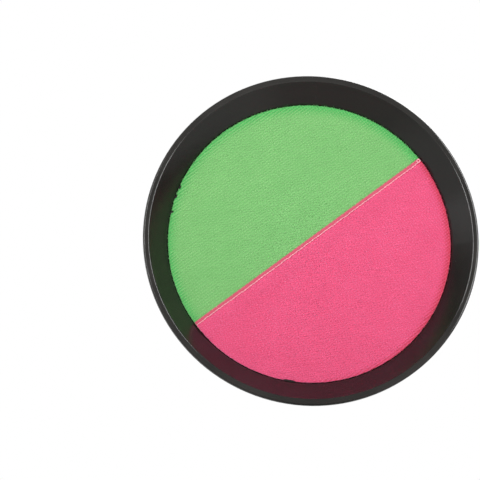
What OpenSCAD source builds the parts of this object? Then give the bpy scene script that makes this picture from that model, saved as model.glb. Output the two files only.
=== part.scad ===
/* [Catch face] */
// Diameter of the hook fabric face
face_d = 161; // [140:1:180]
// Thickness of the fabric's woven ground
ground_t = 0.7; // [0.5:0.05:1]
// Height of the hooks above the ground
hook_h = 1.3; // [1.1:0.1:2]
// Thickness of the adhesive sheet under the fabric
glue_t = 0.25; // [0.15:0.05:0.5]
// Slope of the seam between the two panels, seen from the front
seam_angle = 37.5; // [0:0.5:90]
// How far the pink panel's edge laps past the row of stitches
lap_edge = 2; // [1.4:0.1:4]
// Width of the green panel's allowance on the far side of the stitches
allowance_w = 4; // [3:0.5:8]
// Gap between the two panels where their edges pass each other
panel_gap = 0.15; // [0.1:0.05:0.4]

/* [Dish] */
// Gap between the fabric's edge and the upright side of its seat
face_margin = 0.5; // [0.4:0.1:2]
// Thickness of the dish's floor
floor_t = 2.2; // [2:0.1:3.5]
// Thickness of the seat's side, the flared wall and the lip
wall_t = 1.8; // [1.2:0.1:2.4]
// How far the wall flares outwards from the seat to the lip
flare = 10.8; // [7:0.1:16]
// Depth of the catch face below the lip
recess = 10.3; // [5:0.1:14]
// Width of the lip
lip_w = 3.2; // [2.6:0.1:5]
// Radius of the lip's two edges
lip_round = 1.2; // [0.3:0.1:1.2]
// Radius of the seat's upper edge
seat_round = 0.4; // [0.2:0.1:1]
// Radius of the dish's edge on the back
heel_round = 0.8; // [0.3:0.1:1]
// Thickness of the skirt that hangs from the lip's outer edge
skirt_t = 1.6; // [1:0.1:1.8]
// Height of the skirt
skirt_h = 4; // [3:0.1:7]
// Width of the groove between the wall and the skirt, at its root
groove_w = 0.7; // [0.3:0.1:0.8]
// Height of the foot ring on the back
foot_h = 2; // [1:0.1:3]
// Width of the foot ring
foot_w = 2; // [1.2:0.1:3]
// Diameter of the moulding dimple in the middle of the back
dimple_d = 12; // [8:1:20]
// Depth of the moulding dimple
dimple_h = 0.5; // [0.3:0.1:0.8]
// Diameter of the moulding stub inside the dimple
stub_d = 3.2; // [2:0.1:5]

/* [Strap] */
// Width of the webbing
web_w = 38; // [30:1:40]
// Thickness of the webbing
web_t = 1.6; // [1:0.1:2]
// Room for the hand between the back and the crown of the strap
hand_room = 36; // [30:1:42]
// Distance of each strap pin from the edge of the floor
pin_inset = 18.2; // [16:0.1:24]
// Length of each webbing tail that is folded back and sewn down
tail_l = 22; // [16:1:26]
// Length of the loop patch and of the hook patch
patch_l = 46; // [30:1:52]
// Width of the two patches
patch_w = 34; // [24:1:36]
// Thickness of each patch
patch_t = 1.15; // [0.8:0.05:1.6]
// Gap between the closed patches
patch_gap = 0.3; // [0.2:0.05:0.6]
// How far the lower strap runs past its patch
lower_end = 4; // [2:1:8]
// How far the upper strap runs past its patch, as a pull tab
upper_end = 16; // [12:1:20]
// Length of the folded hem at the end of the pull tab
hem_l = 10; // [6:1:11]

/* [Thread] */
// Diameter of the sewing thread
thread_d = 0.7; // [0.4:0.05:0.9]
// Distance from one stitch to the next
stitch_pitch = 4; // [2.5:0.1:6]
// Gap between one stitch and the next, where the thread dives
stitch_gap = 0.6; // [0.4:0.1:1]
// Distance of a row of stitches from the edge of what it sews down
stitch_inset = 3; // [2:0.5:5]
// Distance of the ends of the seam's row of stitches from the fabric's edge
seam_end = 0.5; // [0.4:0.1:4]

/* [Anchors] */
// Diameter of the strap pins
pin_d = 5; // [3:0.1:6]
// Clearance between a pin and the webbing looped round it
loop_gap = 0.25; // [0.2:0.05:0.5]
// Clearance between a pin and its bores in the ears
bore_gap = 0.03; // [0.01:0.01:0.05]
// How far each end of a pin stands out of its ear
pin_proud = 0.6; // [0.2:0.1:1.5]
// Thickness of an anchor's base plate
base_t = 2; // [1.5:0.1:3]
// Width of an anchor's base plate
base_w = 15; // [13:1:18]
// Corner radius of an anchor's base plate
base_round = 6; // [3:0.5:6]
// Clearance between the base plate and the webbing loop above it
loop_lift = 0.4; // [0.3:0.1:1]
// Thickness of an anchor's ears
ear_t = 4; // [3:0.1:5]
// Gap between an ear and the edge of the webbing
ear_gap = 1; // [0.5:0.1:2]
// Wall of an ear round its bore
ear_wall = 2; // [1.5:0.1:3]

/* [Rivets] */
// Diameter of the rivet shanks
rivet_d = 3; // [2.4:0.1:4]
// Clearance between a rivet's shank and its holes
rivet_gap = 0.05; // [0.03:0.01:0.2]
// Diameter of the domed rivet heads
head_d = 7; // [5.5:0.1:8]
// Height of the domed rivet heads
head_h = 1.4; // [1:0.1:2]
// Gap between a rivet head and the ear beside it
head_gap = 1; // [0.5:0.1:2]
// Diameter of the washers under the clenched tails
washer_d = 7.5; // [6:0.1:9]
// Thickness of the washers
washer_t = 0.5; // [0.3:0.05:0.6]
// Diameter of the clenched tails
clench_d = 4.6; // [4.2:0.1:5.5]
// Height of the clenched tails
clench_h = 0.45; // [0.3:0.05:0.6]

/* [Hidden] */
$fn = 96;

// Play between parts that lie on each other, and overlap of parts that are one solid
play = 0.05;
overlap = 0.5;
// Points along each rounded edge
arc_steps = 8;
// The play of a washer in its recess
washer_play = 0.25;

// Heights in front of the back of the floor
face_r = face_d / 2;
cloth_t = ground_t + hook_h;
cloth_z = floor_t + glue_t;
seat_z = cloth_z + ground_t;
lip_z = cloth_z + cloth_t + recess;

// The dish's radii, and the slope of its wall, which flares from the top of a shallow seat round the
// fabric's ground. On the outside it flares from the knee, so that the wall keeps its thickness.
floor_r = face_r + face_margin;
lip_r = floor_r + flare;
rim_r = lip_r + lip_w;
wall_angle = atan2(lip_z - seat_z, flare);
knee_z = seat_z - wall_t * tan(45 - wall_angle / 2);
floor_fillet = 0.8 * face_margin;

// Rivets and the recesses for their washers in the front of the floor
clench_room = washer_t + clench_h + play;
floor_web = floor_t - clench_room;
ear_z = web_w / 2 + ear_gap;
rivet_z = ear_z + ear_t + head_gap + head_d / 2;

// Pins, and the webbing loops round them
pin_r = pin_d / 2;
pin_x = floor_r - pin_inset;
loop_ri = pin_r + loop_gap;
loop_ro = loop_ri + web_t;
pin_y = base_t + loop_lift + loop_ro;
pin_l = 2 * (ear_z + ear_t + pin_proud);

// Both straps are arcs about one centre in front of the paddle. Each arc just clears the
// inside of its own loop, the upper arc lies outside the patches, and arch_ri follows from
// that and from the hand room by a quadratic equation.
lift = web_t + 2 * patch_t + patch_gap;
touch = loop_ri + play;
pin_drop = hand_room - pin_y;
arch_b = lift / (2 * pin_x);
arch_a = pin_x + arch_b * (touch - lift / 2);
arch_p = 2 * (pin_drop - touch + arch_a * arch_b);
arch_q = pin_drop * pin_drop + arch_a * arch_a - touch * touch;
arch_ri = 2 * arch_q / (arch_p + sqrt(arch_p * arch_p - 4 * arch_b * arch_b * arch_q));
upper_ri = arch_ri + lift;
arch_sink = arch_ri - hand_room;
arch_x = arch_a - arch_b * arch_ri - pin_x;
left_angle = -atan2(pin_x + arch_x, pin_y + arch_sink);
right_angle = atan2(pin_x - arch_x, pin_y + arch_sink);

// Angles along the straps, counted from the crown towards +X
patch_angle = turn(patch_l / 2, arch_ri);
lower_tip = patch_angle + turn(lower_end, arch_ri);
upper_tip = -patch_angle - turn(upper_end, upper_ri);
tail_turn = turn(tail_l, arch_ri);

// The angle that a length takes up on an arc
function turn(length, r) = length / r * 180 / PI;

// Points along an arc
function arc(x, y, r, from, to) = [for (i = [0:arc_steps])
    let (a = from + (to - from) * i / arc_steps) [x + r * cos(a), y + r * sin(a)]];

// Outline of the dish's section: floor, seat, flared wall, lip, skirt, groove, heel and foot ring
function dish_section() = concat(
    [[0, floor_t]],
    arc(floor_r - floor_fillet, floor_t + floor_fillet, floor_fillet, -90, 0),
    arc(floor_r + seat_round, seat_z - seat_round * tan(45 - wall_angle / 2), seat_round,
        180, 90 + wall_angle),
    arc(lip_r + lip_round * tan(wall_angle / 2), lip_z - lip_round, lip_round, 90 + wall_angle, 90),
    arc(rim_r - lip_round, lip_z - lip_round, lip_round, 90, 0),
    arc(rim_r - skirt_t / 2, lip_z - skirt_h + skirt_t / 2, skirt_t / 2, 0, -180),
    [[rim_r - skirt_t, lip_z - wall_t],
     [rim_r - skirt_t - groove_w, lip_z - wall_t],
     [floor_r + wall_t, knee_z]],
    arc(floor_r + wall_t - heel_round, heel_round, heel_round, 0, -90),
    [[floor_r, 0],
     [floor_r, -foot_h],
     [floor_r - foot_w, -foot_h],
     [floor_r - foot_w, 0],
     [0, 0]]);

// Outline of a rivet: domed head on the back, shank, and clenched tail in the floor's recess
function rivet_section() = concat(
    [[0, base_t + head_h]],
    [for (i = [1:arc_steps]) let (a = 90 - 90 * i / arc_steps)
        [head_d / 2 * cos(a), base_t + play + (head_h - play) * sin(a)]],
    [[head_d / 2, base_t],
     [rivet_d / 2, base_t],
     [rivet_d / 2, -floor_web - washer_t],
     [clench_d / 2, -floor_web - washer_t],
     [clench_d / 2, -floor_web - washer_t - clench_h],
     [0, -floor_web - washer_t - clench_h]]);

function rounded_plate(w, l, r) = concat(
    arc(w / 2 - r, l / 2 - r, r, 0, 90),
    arc(r - w / 2, l / 2 - r, r, 90, 180),
    arc(r - w / 2, r - l / 2, r, 180, 270),
    arc(w / 2 - r, r - l / 2, r, 270, 360));

// Turns a shape with its front up, as it lies on a bench, to stand with its front towards -Y
module upright() {
    rotate([90, 0, 0]) children();
}

// Turns a shape that stands on a bench so that its top points out of the back, along +Y
module out_of_back() {
    rotate([-90, 0, 0]) children();
}

// Lays a shape on the glued sheet, with x along the seam and y towards the green panel
module along_seam() {
    upright() translate([0, 0, cloth_z]) rotate([0, 0, seam_angle]) children();
}

module at_rivets() {
    for (x = [-pin_x, pin_x], z = [-rivet_z, rivet_z]) translate([x, 0, z]) out_of_back() children();
}

// The part of the face between two distances from the row of stitches
module face_strip(from, to) {
    intersection() {
        circle(r = face_r);
        translate([-face_r, from]) square([2 * face_r, to - from]);
    }
}

// A curved band about the arch's centre, between two radii and two angles from the crown
module band(r0, r1, a0, a1) {
    reach = 1.3 * r1;
    translate([arch_x, -arch_sink]) intersection() {
        difference() {
            circle(r = r1);
            circle(r = r0);
        }
        polygon(concat([[0, 0]], [for (i = [0:3])
            let (a = a0 + (a1 - a0) * i / 3) reach * [sin(a), cos(a)]]));
    }
}

module across_web(w) {
    linear_extrude(height = w, center = true) children();
}

// One row of stitches along an arc, at a height z on the webbing
module stitches_along(r0, r1, a0, a1, z) {
    step = turn(stitch_pitch, r1);
    dive = turn(stitch_gap, r1);
    count = floor((a1 - a0) / step);
    start = (a0 + a1 - count * step) / 2;
    for (i = [0:count - 1])
        translate([0, 0, z]) across_web(thread_d)
            band(r0, r1, start + i * step + dive / 2, start + (i + 1) * step - dive / 2);
}

// One row of stitches across the webbing, at an angle a from the crown
module stitches_across(r0, r1, a, w) {
    half = turn(thread_d / 2, r1);
    count = floor(w / stitch_pitch) - 1;
    for (i = [0:count - 1])
        translate([0, 0, (i + 0.5 - count / 2) * stitch_pitch])
            across_web(stitch_pitch - stitch_gap) band(r0, r1, a - half, a + half);
}

// Stitches in a rectangle on an arc: two rows along it, and two rows across it
module stitch_box(r0, r1, a0, a1, w) {
    for (z = [-w / 2, w / 2]) stitches_along(r0, r1, a0, a1, z);
    for (a = [a0, a1]) stitches_across(r0, r1, a, w);
}

module dish() {
    color("#282624") difference() {
        upright() rotate_extrude() polygon(dish_section());
        at_rivets() {
            translate([0, 0, -floor_t - 1]) cylinder(d = rivet_d + 2 * rivet_gap, h = floor_t + 2);
            translate([0, 0, -floor_t - 1]) cylinder(d = washer_d + 2 * washer_play, h = 1 + clench_room);
        }
        upright() difference() {
            translate([0, 0, -1]) cylinder(d = dimple_d, h = 1 + dimple_h);
            cylinder(d = stub_d, h = dimple_h + 1);
        }
    }
}

module adhesive_sheet() {
    color("#3d3a33") upright() translate([0, 0, floor_t]) cylinder(r = face_r, h = glue_t);
}

module green_hook_panel() {
    color("#84cd78") along_seam() {
        linear_extrude(height = cloth_t) face_strip(lap_edge + panel_gap, face_r);
        linear_extrude(height = ground_t) face_strip(-allowance_w, lap_edge + panel_gap + overlap);
    }
}

module pink_hook_panel() {
    channel = thread_d + 2 * panel_gap;
    color("#f36192") along_seam() difference() {
        linear_extrude(height = cloth_t) face_strip(-face_r, lap_edge);
        translate([-face_r - 1, -allowance_w - panel_gap, -1])
            cube([2 * face_r + 2, allowance_w + panel_gap + lap_edge + 1, 1 + ground_t + play]);
        translate([-face_r - 1, -channel / 2, cloth_t - thread_d - play])
            cube([2 * face_r + 2, channel, thread_d + 1]);
    }
}

module seam_stitches() {
    count = floor(2 * (face_r - seam_end) / stitch_pitch);
    color("#ff9fb6") along_seam()
        for (i = [0:count - 1])
            translate([(i + 0.5 - count / 2) * stitch_pitch, 0, cloth_t - thread_d / 2])
                rotate([0, 90, 0]) cylinder(d = thread_d, h = stitch_pitch - stitch_gap, center = true);
}

module strap_anchor(x) {
    ear_r = pin_r + ear_wall;
    color("#2a2927") difference() {
        union() {
            translate([x, 0, 0]) out_of_back() linear_extrude(height = base_t)
                polygon(rounded_plate(base_w, 2 * rivet_z + head_d + 2, base_round));
            for (side = [-1, 1])
                translate([x, 0, side * (ear_z + ear_t / 2)]) linear_extrude(height = ear_t, center = true) {
                    translate([0, pin_y]) circle(r = ear_r);
                    polygon([[-ear_r - 1, base_t - overlap], [ear_r + 1, base_t - overlap],
                             [ear_r / 2, pin_y + ear_r / 2], [-ear_r / 2, pin_y + ear_r / 2]]);
                }
        }
        translate([x, pin_y, 0]) cylinder(r = pin_r + bore_gap, h = 2 * pin_l, center = true);
        at_rivets() translate([0, 0, -1]) cylinder(d = rivet_d + 2 * rivet_gap, h = base_t + 2);
    }
}

module left_strap_anchor() { strap_anchor(-pin_x); }
module right_strap_anchor() { strap_anchor(pin_x); }

module strap_pin(x) {
    color("#b9bcbe") translate([x, pin_y, 0]) cylinder(d = pin_d, h = pin_l, center = true);
}

module left_strap_pin() { strap_pin(-pin_x); }
module right_strap_pin() { strap_pin(pin_x); }

module anchor_rivets() {
    color("#c3c5c6") at_rivets() rotate_extrude() polygon(rivet_section());
}

module rivet_washers() {
    color("#a9abad") at_rivets() translate([0, 0, -floor_web - washer_t]) difference() {
        cylinder(d = washer_d, h = washer_t);
        translate([0, 0, -1]) cylinder(d = rivet_d + 2 * rivet_gap, h = washer_t + 2);
    }
}

module lower_strap() {
    color("#232323") across_web(web_w) difference() {
        union() {
            band(arch_ri, arch_ri + web_t, left_angle, lower_tip);
            band(arch_ri - web_t, arch_ri + overlap, left_angle, left_angle + tail_turn);
            translate([-pin_x, pin_y]) circle(r = loop_ro);
        }
        translate([-pin_x, pin_y]) circle(r = loop_ri);
    }
}

module upper_strap() {
    color("#232323") across_web(web_w) difference() {
        union() {
            band(upper_ri, upper_ri + web_t, upper_tip, right_angle);
            band(upper_ri - web_t, upper_ri + overlap, right_angle - tail_turn, right_angle);
            band(upper_ri + web_t - overlap, upper_ri + 2 * web_t, upper_tip, upper_tip + turn(hem_l, upper_ri));
            translate([pin_x, pin_y]) circle(r = loop_ro);
        }
        translate([pin_x, pin_y]) circle(r = loop_ri);
    }
}

module loop_patch() {
    color("#2b2b2c") across_web(patch_w)
        band(arch_ri + web_t + play, arch_ri + web_t + patch_t, -patch_angle, patch_angle);
}

module hook_patch() {
    color("#1f1f20") across_web(patch_w)
        band(upper_ri - patch_t, upper_ri - play, -patch_angle, patch_angle);
}

module lower_strap_stitches() {
    start = left_angle + turn(loop_ro + stitch_inset, arch_ri);
    color("#3a3a3a") stitch_box(arch_ri + web_t + play, arch_ri + web_t + play + thread_d / 2,
        start, left_angle + tail_turn - turn(stitch_inset, arch_ri), web_w - 2 * stitch_inset);
}

module upper_strap_stitches() {
    start = right_angle - turn(loop_ro + stitch_inset, upper_ri);
    hem_row = upper_tip + turn(hem_l - stitch_inset, upper_ri);
    color("#3a3a3a") {
        stitch_box(upper_ri + web_t + play, upper_ri + web_t + play + thread_d / 2,
            right_angle - tail_turn + turn(stitch_inset, upper_ri), start, web_w - 2 * stitch_inset);
        stitches_across(upper_ri + 2 * web_t + play, upper_ri + 2 * web_t + play + thread_d / 2,
            hem_row, web_w - 2 * stitch_inset);
    }
}

module loop_patch_stitches() {
    edge = patch_angle - turn(stitch_inset, arch_ri);
    color("#3a3a3a") stitch_box(arch_ri - play - thread_d / 2, arch_ri - play,
        -edge, edge, patch_w - 2 * stitch_inset);
}

module hook_patch_stitches() {
    edge = patch_angle - turn(stitch_inset, upper_ri);
    color("#3a3a3a") stitch_box(upper_ri + web_t + play, upper_ri + web_t + play + thread_d / 2,
        -edge, edge, patch_w - 2 * stitch_inset);
}

dish();
adhesive_sheet();
green_hook_panel();
pink_hook_panel();
seam_stitches();
left_strap_anchor();
right_strap_anchor();
left_strap_pin();
right_strap_pin();
anchor_rivets();
rivet_washers();
lower_strap();
upper_strap();
loop_patch();
hook_patch();
lower_strap_stitches();
upper_strap_stitches();
loop_patch_stitches();
hook_patch_stitches();
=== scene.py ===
import math
import random

import bmesh
import bpy
from mathutils import Matrix, Quaternion, Vector, noise
from mathutils.geometry import interpolate_bezier


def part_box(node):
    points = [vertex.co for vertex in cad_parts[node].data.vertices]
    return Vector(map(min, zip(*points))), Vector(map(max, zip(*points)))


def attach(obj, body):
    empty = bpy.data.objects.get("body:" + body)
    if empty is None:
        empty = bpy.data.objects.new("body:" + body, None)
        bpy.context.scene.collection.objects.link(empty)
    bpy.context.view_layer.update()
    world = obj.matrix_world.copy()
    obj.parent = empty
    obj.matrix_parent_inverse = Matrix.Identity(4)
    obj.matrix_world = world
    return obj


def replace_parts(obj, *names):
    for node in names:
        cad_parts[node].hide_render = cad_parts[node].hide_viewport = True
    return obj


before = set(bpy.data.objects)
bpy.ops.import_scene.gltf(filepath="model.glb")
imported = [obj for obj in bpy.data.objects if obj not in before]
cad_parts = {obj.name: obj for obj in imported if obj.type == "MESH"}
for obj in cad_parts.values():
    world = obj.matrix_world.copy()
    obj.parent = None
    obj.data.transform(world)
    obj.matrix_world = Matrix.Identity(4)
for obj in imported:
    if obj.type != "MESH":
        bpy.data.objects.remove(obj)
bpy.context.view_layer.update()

# Shapes are modelled in millimetres, and ROW scales them to the frame, which is in metres
MM = 0.001
ROW = Matrix.Scale(MM, 4)


def box_mm(node):
    low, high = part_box(node)
    return low / MM, high / MM


# Sizes that the frame gives
dish_low, dish_high = box_mm("dish")
green_low, green_high = box_mm("green_hook_panel")
web_low, web_high = box_mm("lower_strap")
pin_low, pin_high = box_mm("right_strap_pin")
RIM_R = dish_high.x
LIP_Y = dish_low.y
FACE_R = -green_low.x
CLOTH_Y = green_high.y
CLOTH_T = CLOTH_Y - green_low.y
WEB_W = web_high.z - web_low.z
PIN_R = (pin_high.x - pin_low.x) / 2
PIN_X = (pin_high.x + pin_low.x) / 2
PIN_Y = (pin_high.y + pin_low.y) / 2

# How far back from the lip's face the dish is rubbed, and how far the edges of hard pieces are broken
LIP_WORN = 0.6
ANCHOR_EDGE = 0.45
PIN_EDGE = 0.35

# The hook fabric: a woven ground, with hooks in rows that run across the seam
SEAM_SLOPE = math.radians(37.5)
GROUND_T = 0.7
LAP = 2.0
ALLOWANCE = 4.0
LAP_RISE = GROUND_T + 0.05
RAMP_L = 9.0
HOOK_H = CLOTH_T - GROUND_T
HOOK_REACH = 0.85
HOOK_THICK = 0.24
HOOK_ROOT = 0.9 * GROUND_T
HOOK_MARGIN = 0.4
ROW_PITCH = 1.42
HOOK_PITCH = 1.55

# How far the hooks stand out of true, and the few that are crushed
HOOK_DRIFT_ALONG = 0.08
HOOK_DRIFT_ACROSS = 0.1
HOOK_TURN = 0.3
HOOK_LEAN = 0.12
HOOK_SIZES = (0.9, 1.06)
CRUSHED_SHARE = 0.015
CRUSHED_H = 0.4
CRUSHED_LEAN = 0.5

# The band of painted shade by the rim, where the wall shades the fabric: its width, how far the shade takes
# to reach its full depth in it, how far left of the middle the lit round sits, and how far its teeth of
# painted shadow reach into the band, row by row
GREEN_RIM_SHADE = (5.4, 4.9, 0.8, 4.2)
PINK_RIM_SHADE = (0.7, 3.5, 3.3, 2.6)
SHADOW_TOOTH_PITCH = 1.5

# Small flaws of the cut edge: nicks, each with its polar angle in degrees seen from the front, half its
# width and its depth, and the loose ends of yarn
NICKS = [(157.5, 1.0, 1.2), (161.8, 1.1, 0.8), (168.2, 1.0, 1.6), (261.8, 2.8, 0.7)]
FRAY = 0.22
YARN_PITCH = 0.55
YARN_L = 1.0
YARN_THICK = 0.8 * HOOK_THICK
YARN_DRIFT = 0.15 * YARN_PITCH
YARN_INSETS = (0.05, 0.25)
YARN_HEIGHTS = (0.5, 1.5)
YARN_TURN = 0.5
YARN_SIZES = (0.5, 1.0)

# Sewing thread of two plies. A stitch runs a little past its pitch, into the hole that the next one shares
THREAD_D = 0.7
PLY_R = 0.28 * THREAD_D
STITCH_PITCH = 4.0
STITCH_L = STITCH_PITCH + 0.25 * THREAD_D
STITCH_INSET = 3.0
PROUD = 0.12
SEAM_END = 0.1
SEAM_DRIFT = 0.06
SEAM_SKEW = (0.03, 0.02)
TACK_R = 0.9
TACK_ASIDE = 0.85
TACK_THREAD_R = 0.42 * THREAD_D

# The stitches pull the pink ground in: how deep, how far to each side, and how much it varies along each
PULL_DEPTH = 0.35
PULL_W = 0.7
PULL_WAVE = 0.35

# The hot-cut edge of the pink ground: a flattened bead that swells and wanders
BEAD_R = 0.5 * GROUND_T
BEAD_FLAT = 0.85
BEAD_INSET = 0.25
BEAD_RISE = 0.12
BEAD_SWELL = 0.14
BEAD_WAVE_L = 2.4
BEAD_SEED = 7

# The strap: webbing looped round two pins and closed by a pair of patches
WEB_T = 1.6
HAND_ROOM = 36.0
TAIL_L = 22.0
NECK_L = 9.0
NECK_PULL = 2.5
LOOP_START = math.radians(-50)
LOOP_WRAP = math.radians(220)
PATCH_L = 46.0
PATCH_W = 34.0
PATCH_T = 1.15
PATCH_CORNER = 2.5
PATCH_GAP = 0.3
BACKING_T = 0.45
LOWER_END = 4.0
UPPER_END = 16.0
HEM_L = 10.0
LOOP_GAP = 0.25
PLAY = 0.05

# The loops and hooks of the patches: how high they stand, their spacing, and how far they are out of true
PILE_H = PATCH_T - BACKING_T - PLAY
PILE_ROOT = 0.9 * BACKING_T
PILE_MARGIN = 1.0
LOOP_PITCH = 1.15
TAPE_HOOK_PITCH = 1.35
PILE_DRIFT = 0.12
PILE_TURN = 0.5
PILE_LEAN = 0.15

# Both straps are arcs about one centre in front of the paddle, as the webbing lies when closed. The radius
# at which each arc touches the loop round its own pin solves square * R ** 2 - once * R + rest = 0
LIFT = WEB_T + 2 * PATCH_T + PATCH_GAP
TOUCH = PIN_R + LOOP_GAP + PLAY
drop = HAND_ROOM - PIN_Y
slope = LIFT / (2 * PIN_X)
reach = PIN_X + slope * (TOUCH - LIFT / 2)
square = slope ** 2
once = 2 * (drop - TOUCH + reach * slope)
rest = drop ** 2 + reach ** 2 - TOUCH ** 2
LOWER_R = 2 * rest / (once + math.sqrt(once ** 2 - 4 * square * rest))
UPPER_R = LOWER_R + LIFT
ARCH_SINK = LOWER_R - HAND_ROOM
ARCH_X = reach - slope * LOWER_R - PIN_X
LEFT_ANGLE = -math.atan2(PIN_X + ARCH_X, PIN_Y + ARCH_SINK)
RIGHT_ANGLE = math.atan2(PIN_X - ARCH_X, PIN_Y + ARCH_SINK)
PATCH_ANGLE = PATCH_L / 2 / LOWER_R
LOWER_TIP = PATCH_ANGLE + LOWER_END / LOWER_R
UPPER_TIP = -PATCH_ANGLE - UPPER_END / UPPER_R
TAIL_TURN = TAIL_L / LOWER_R

# The weave of the webbing: the width and length of one crossing, its relief, and mesh steps to each
WARP_W = WEB_W / 30
WEFT_L = 1.2
WEAVE_RELIEF = 0.13
WEAVE_STEPS = 3


# Colours and nodes

def linear(hex_colour):
    """The linear colour of an sRGB hex value."""
    parts = [int(hex_colour[i:i + 2], 16) / 255 for i in (1, 3, 5)]
    return [p / 12.92 if p <= 0.04045 else ((p + 0.055) / 1.055) ** 2.4 for p in parts] + [1.0]


def add(tree, kind, inputs=None, **settings):
    """One shader node, with its settings, and with each input a value or the output linked to it."""
    made = tree.nodes.new("ShaderNode" + kind)
    for name, value in settings.items():
        setattr(made, name, value)
    for name, value in (inputs or {}).items():
        if isinstance(value, bpy.types.NodeSocket):
            tree.links.new(value, made.inputs[name])
        else:
            made.inputs[name].default_value = value
    return made


# A Wave texture of scale 1 repeats every 2 pi / 20
WAVE = math.pi / 10


def per_mm(size):
    """The scale of a pattern whose marks are this many millimetres across."""
    return 1 / (size * MM)


def mottle(tree, where, size, detail=2.0, distortion=0.0):
    """A noise whose marks are this many millimetres across."""
    made = add(tree, "TexNoise", {"Vector": where, "Scale": per_mm(size), "Detail": detail,
                                  "Distortion": distortion})
    return made.outputs["Fac"]


def blend(tree, share, first, second):
    """The first colour where the share is 0 and the second where it is 1, each a hex value or an output."""
    ends = [linear(end) if isinstance(end, str) else end for end in (first, second)]
    made = add(tree, "Mix", {"Factor": share, "A": ends[0], "B": ends[1]}, data_type="RGBA")
    return made.outputs["Result"]


def relief(tree, height, strength, depth):
    """The normals of a surface that a pattern raises by this many millimetres."""
    made = add(tree, "Bump", {"Height": height, "Strength": strength, "Distance": depth * MM})
    return made.outputs["Normal"]


def new_material(name, uv_map=None):
    """An empty material, its nodes, and where each point lies: on the object, or on its UV map."""
    material = bpy.data.materials.new(name)
    material.use_nodes = True
    tree = material.node_tree
    tree.nodes.clear()
    if uv_map:
        return material, tree, add(tree, "UVMap", uv_map=uv_map).outputs["UV"]
    return material, tree, add(tree, "TexCoord").outputs["Object"]


def finished(material, inputs):
    """The material with its surface, which takes these inputs."""
    surface = add(material.node_tree, "BsdfPrincipled", inputs)
    add(material.node_tree, "OutputMaterial", {"Surface": surface.outputs["BSDF"]})
    return material


def satin_polypropylene():
    # Polypropylene from a finely eroded mould: near black with a satin gloss, an even grain, cloudy
    # flow marks, a few pale specks, and a lip that hands and the ground have rubbed a little greyer
    material, tree, where = new_material("satin_black_polypropylene")
    # The real grain is about 0.1 mm, drawn coarser to show
    grain = mottle(tree, where, 0.5, detail=3.0)
    flow = mottle(tree, where, 24)
    scuff = mottle(tree, where, 2.2)
    specks = add(tree, "MapRange", {"Value": scuff, "From Min": 0.74, "From Max": 0.8, "To Max": 0.3})
    depth = add(tree, "SeparateXYZ", {"Vector": where}).outputs["Y"]
    lip = add(tree, "MapRange", {"Value": depth, "From Min": (LIP_Y + LIP_WORN) * MM, "From Max": LIP_Y * MM,
                                 "To Max": 0.3})
    rub = add(tree, "Math", {0: lip.outputs["Result"], 1: flow}, operation="MULTIPLY")
    wear = add(tree, "Math", {0: rub.outputs[0], 1: specks.outputs["Result"]}, operation="MAXIMUM")
    body = blend(tree, flow, "#171614", "#1e1d1b")
    colour = blend(tree, wear.outputs[0], body, "#5d5b58")
    gloss = add(tree, "MapRange", {"Value": flow, "To Min": 0.13, "To Max": 0.19})
    return finished(material, {"Base Color": colour, "Roughness": gloss.outputs["Result"],
                               "Normal": relief(tree, grain, strength=0.25, depth=0.03), "IOR": 1.49,
                               "Specular IOR Level": 0.62})


def glass_filled_nylon():
    # Nylon with short glass fibre, injection moulded: a duller black than the dish, with a dry grain
    material, tree, where = new_material("black_glass_filled_nylon")
    fibre = mottle(tree, where, 0.6, detail=4.0)
    flow = mottle(tree, where, 9, distortion=1.5)
    colour = blend(tree, flow, "#1d1c1b", "#2c2a28")
    gloss = add(tree, "MapRange", {"Value": fibre, "To Min": 0.42, "To Max": 0.58})
    return finished(material, {"Base Color": colour, "Roughness": gloss.outputs["Result"],
                               "Normal": relief(tree, fibre, strength=0.35, depth=0.05), "IOR": 1.53})


def zinc_plated_steel():
    # Bright zinc on drawn steel: a cool grey mirror broken up by a fine haze and handling marks
    material, tree, where = new_material("zinc_plated_steel")
    haze = mottle(tree, where, 1.2, detail=4.0)
    colour = blend(tree, haze, "#a9acae", "#cdd0d2")
    gloss = add(tree, "MapRange", {"Value": haze, "To Min": 0.2, "To Max": 0.4})
    return finished(material, {"Base Color": colour, "Metallic": 1.0, "Roughness": gloss.outputs["Result"]})


def adhesive_film():
    # Clear acrylic adhesive over the black floor: smoky and soft, with trapped air showing as paler spots
    material, tree, where = new_material("clear_acrylic_adhesive")
    air = add(tree, "TexVoronoi", {"Vector": where, "Scale": per_mm(2.5)})
    spots = add(tree, "MapRange", {"Value": air.outputs["Distance"], "From Max": 0.4})
    colour = blend(tree, spots.outputs["Result"], "#35322b", "#211f1b")
    return finished(material, {"Base Color": colour, "Roughness": 0.45, "IOR": 1.47})


def along_seam(tree, where):
    """The place on the face, turned so that X runs along the seam and Z across it."""
    return add(tree, "Mapping", {"Vector": where, "Rotation": (0.0, SEAM_SLOPE, 0.0)}).outputs["Vector"]


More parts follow.
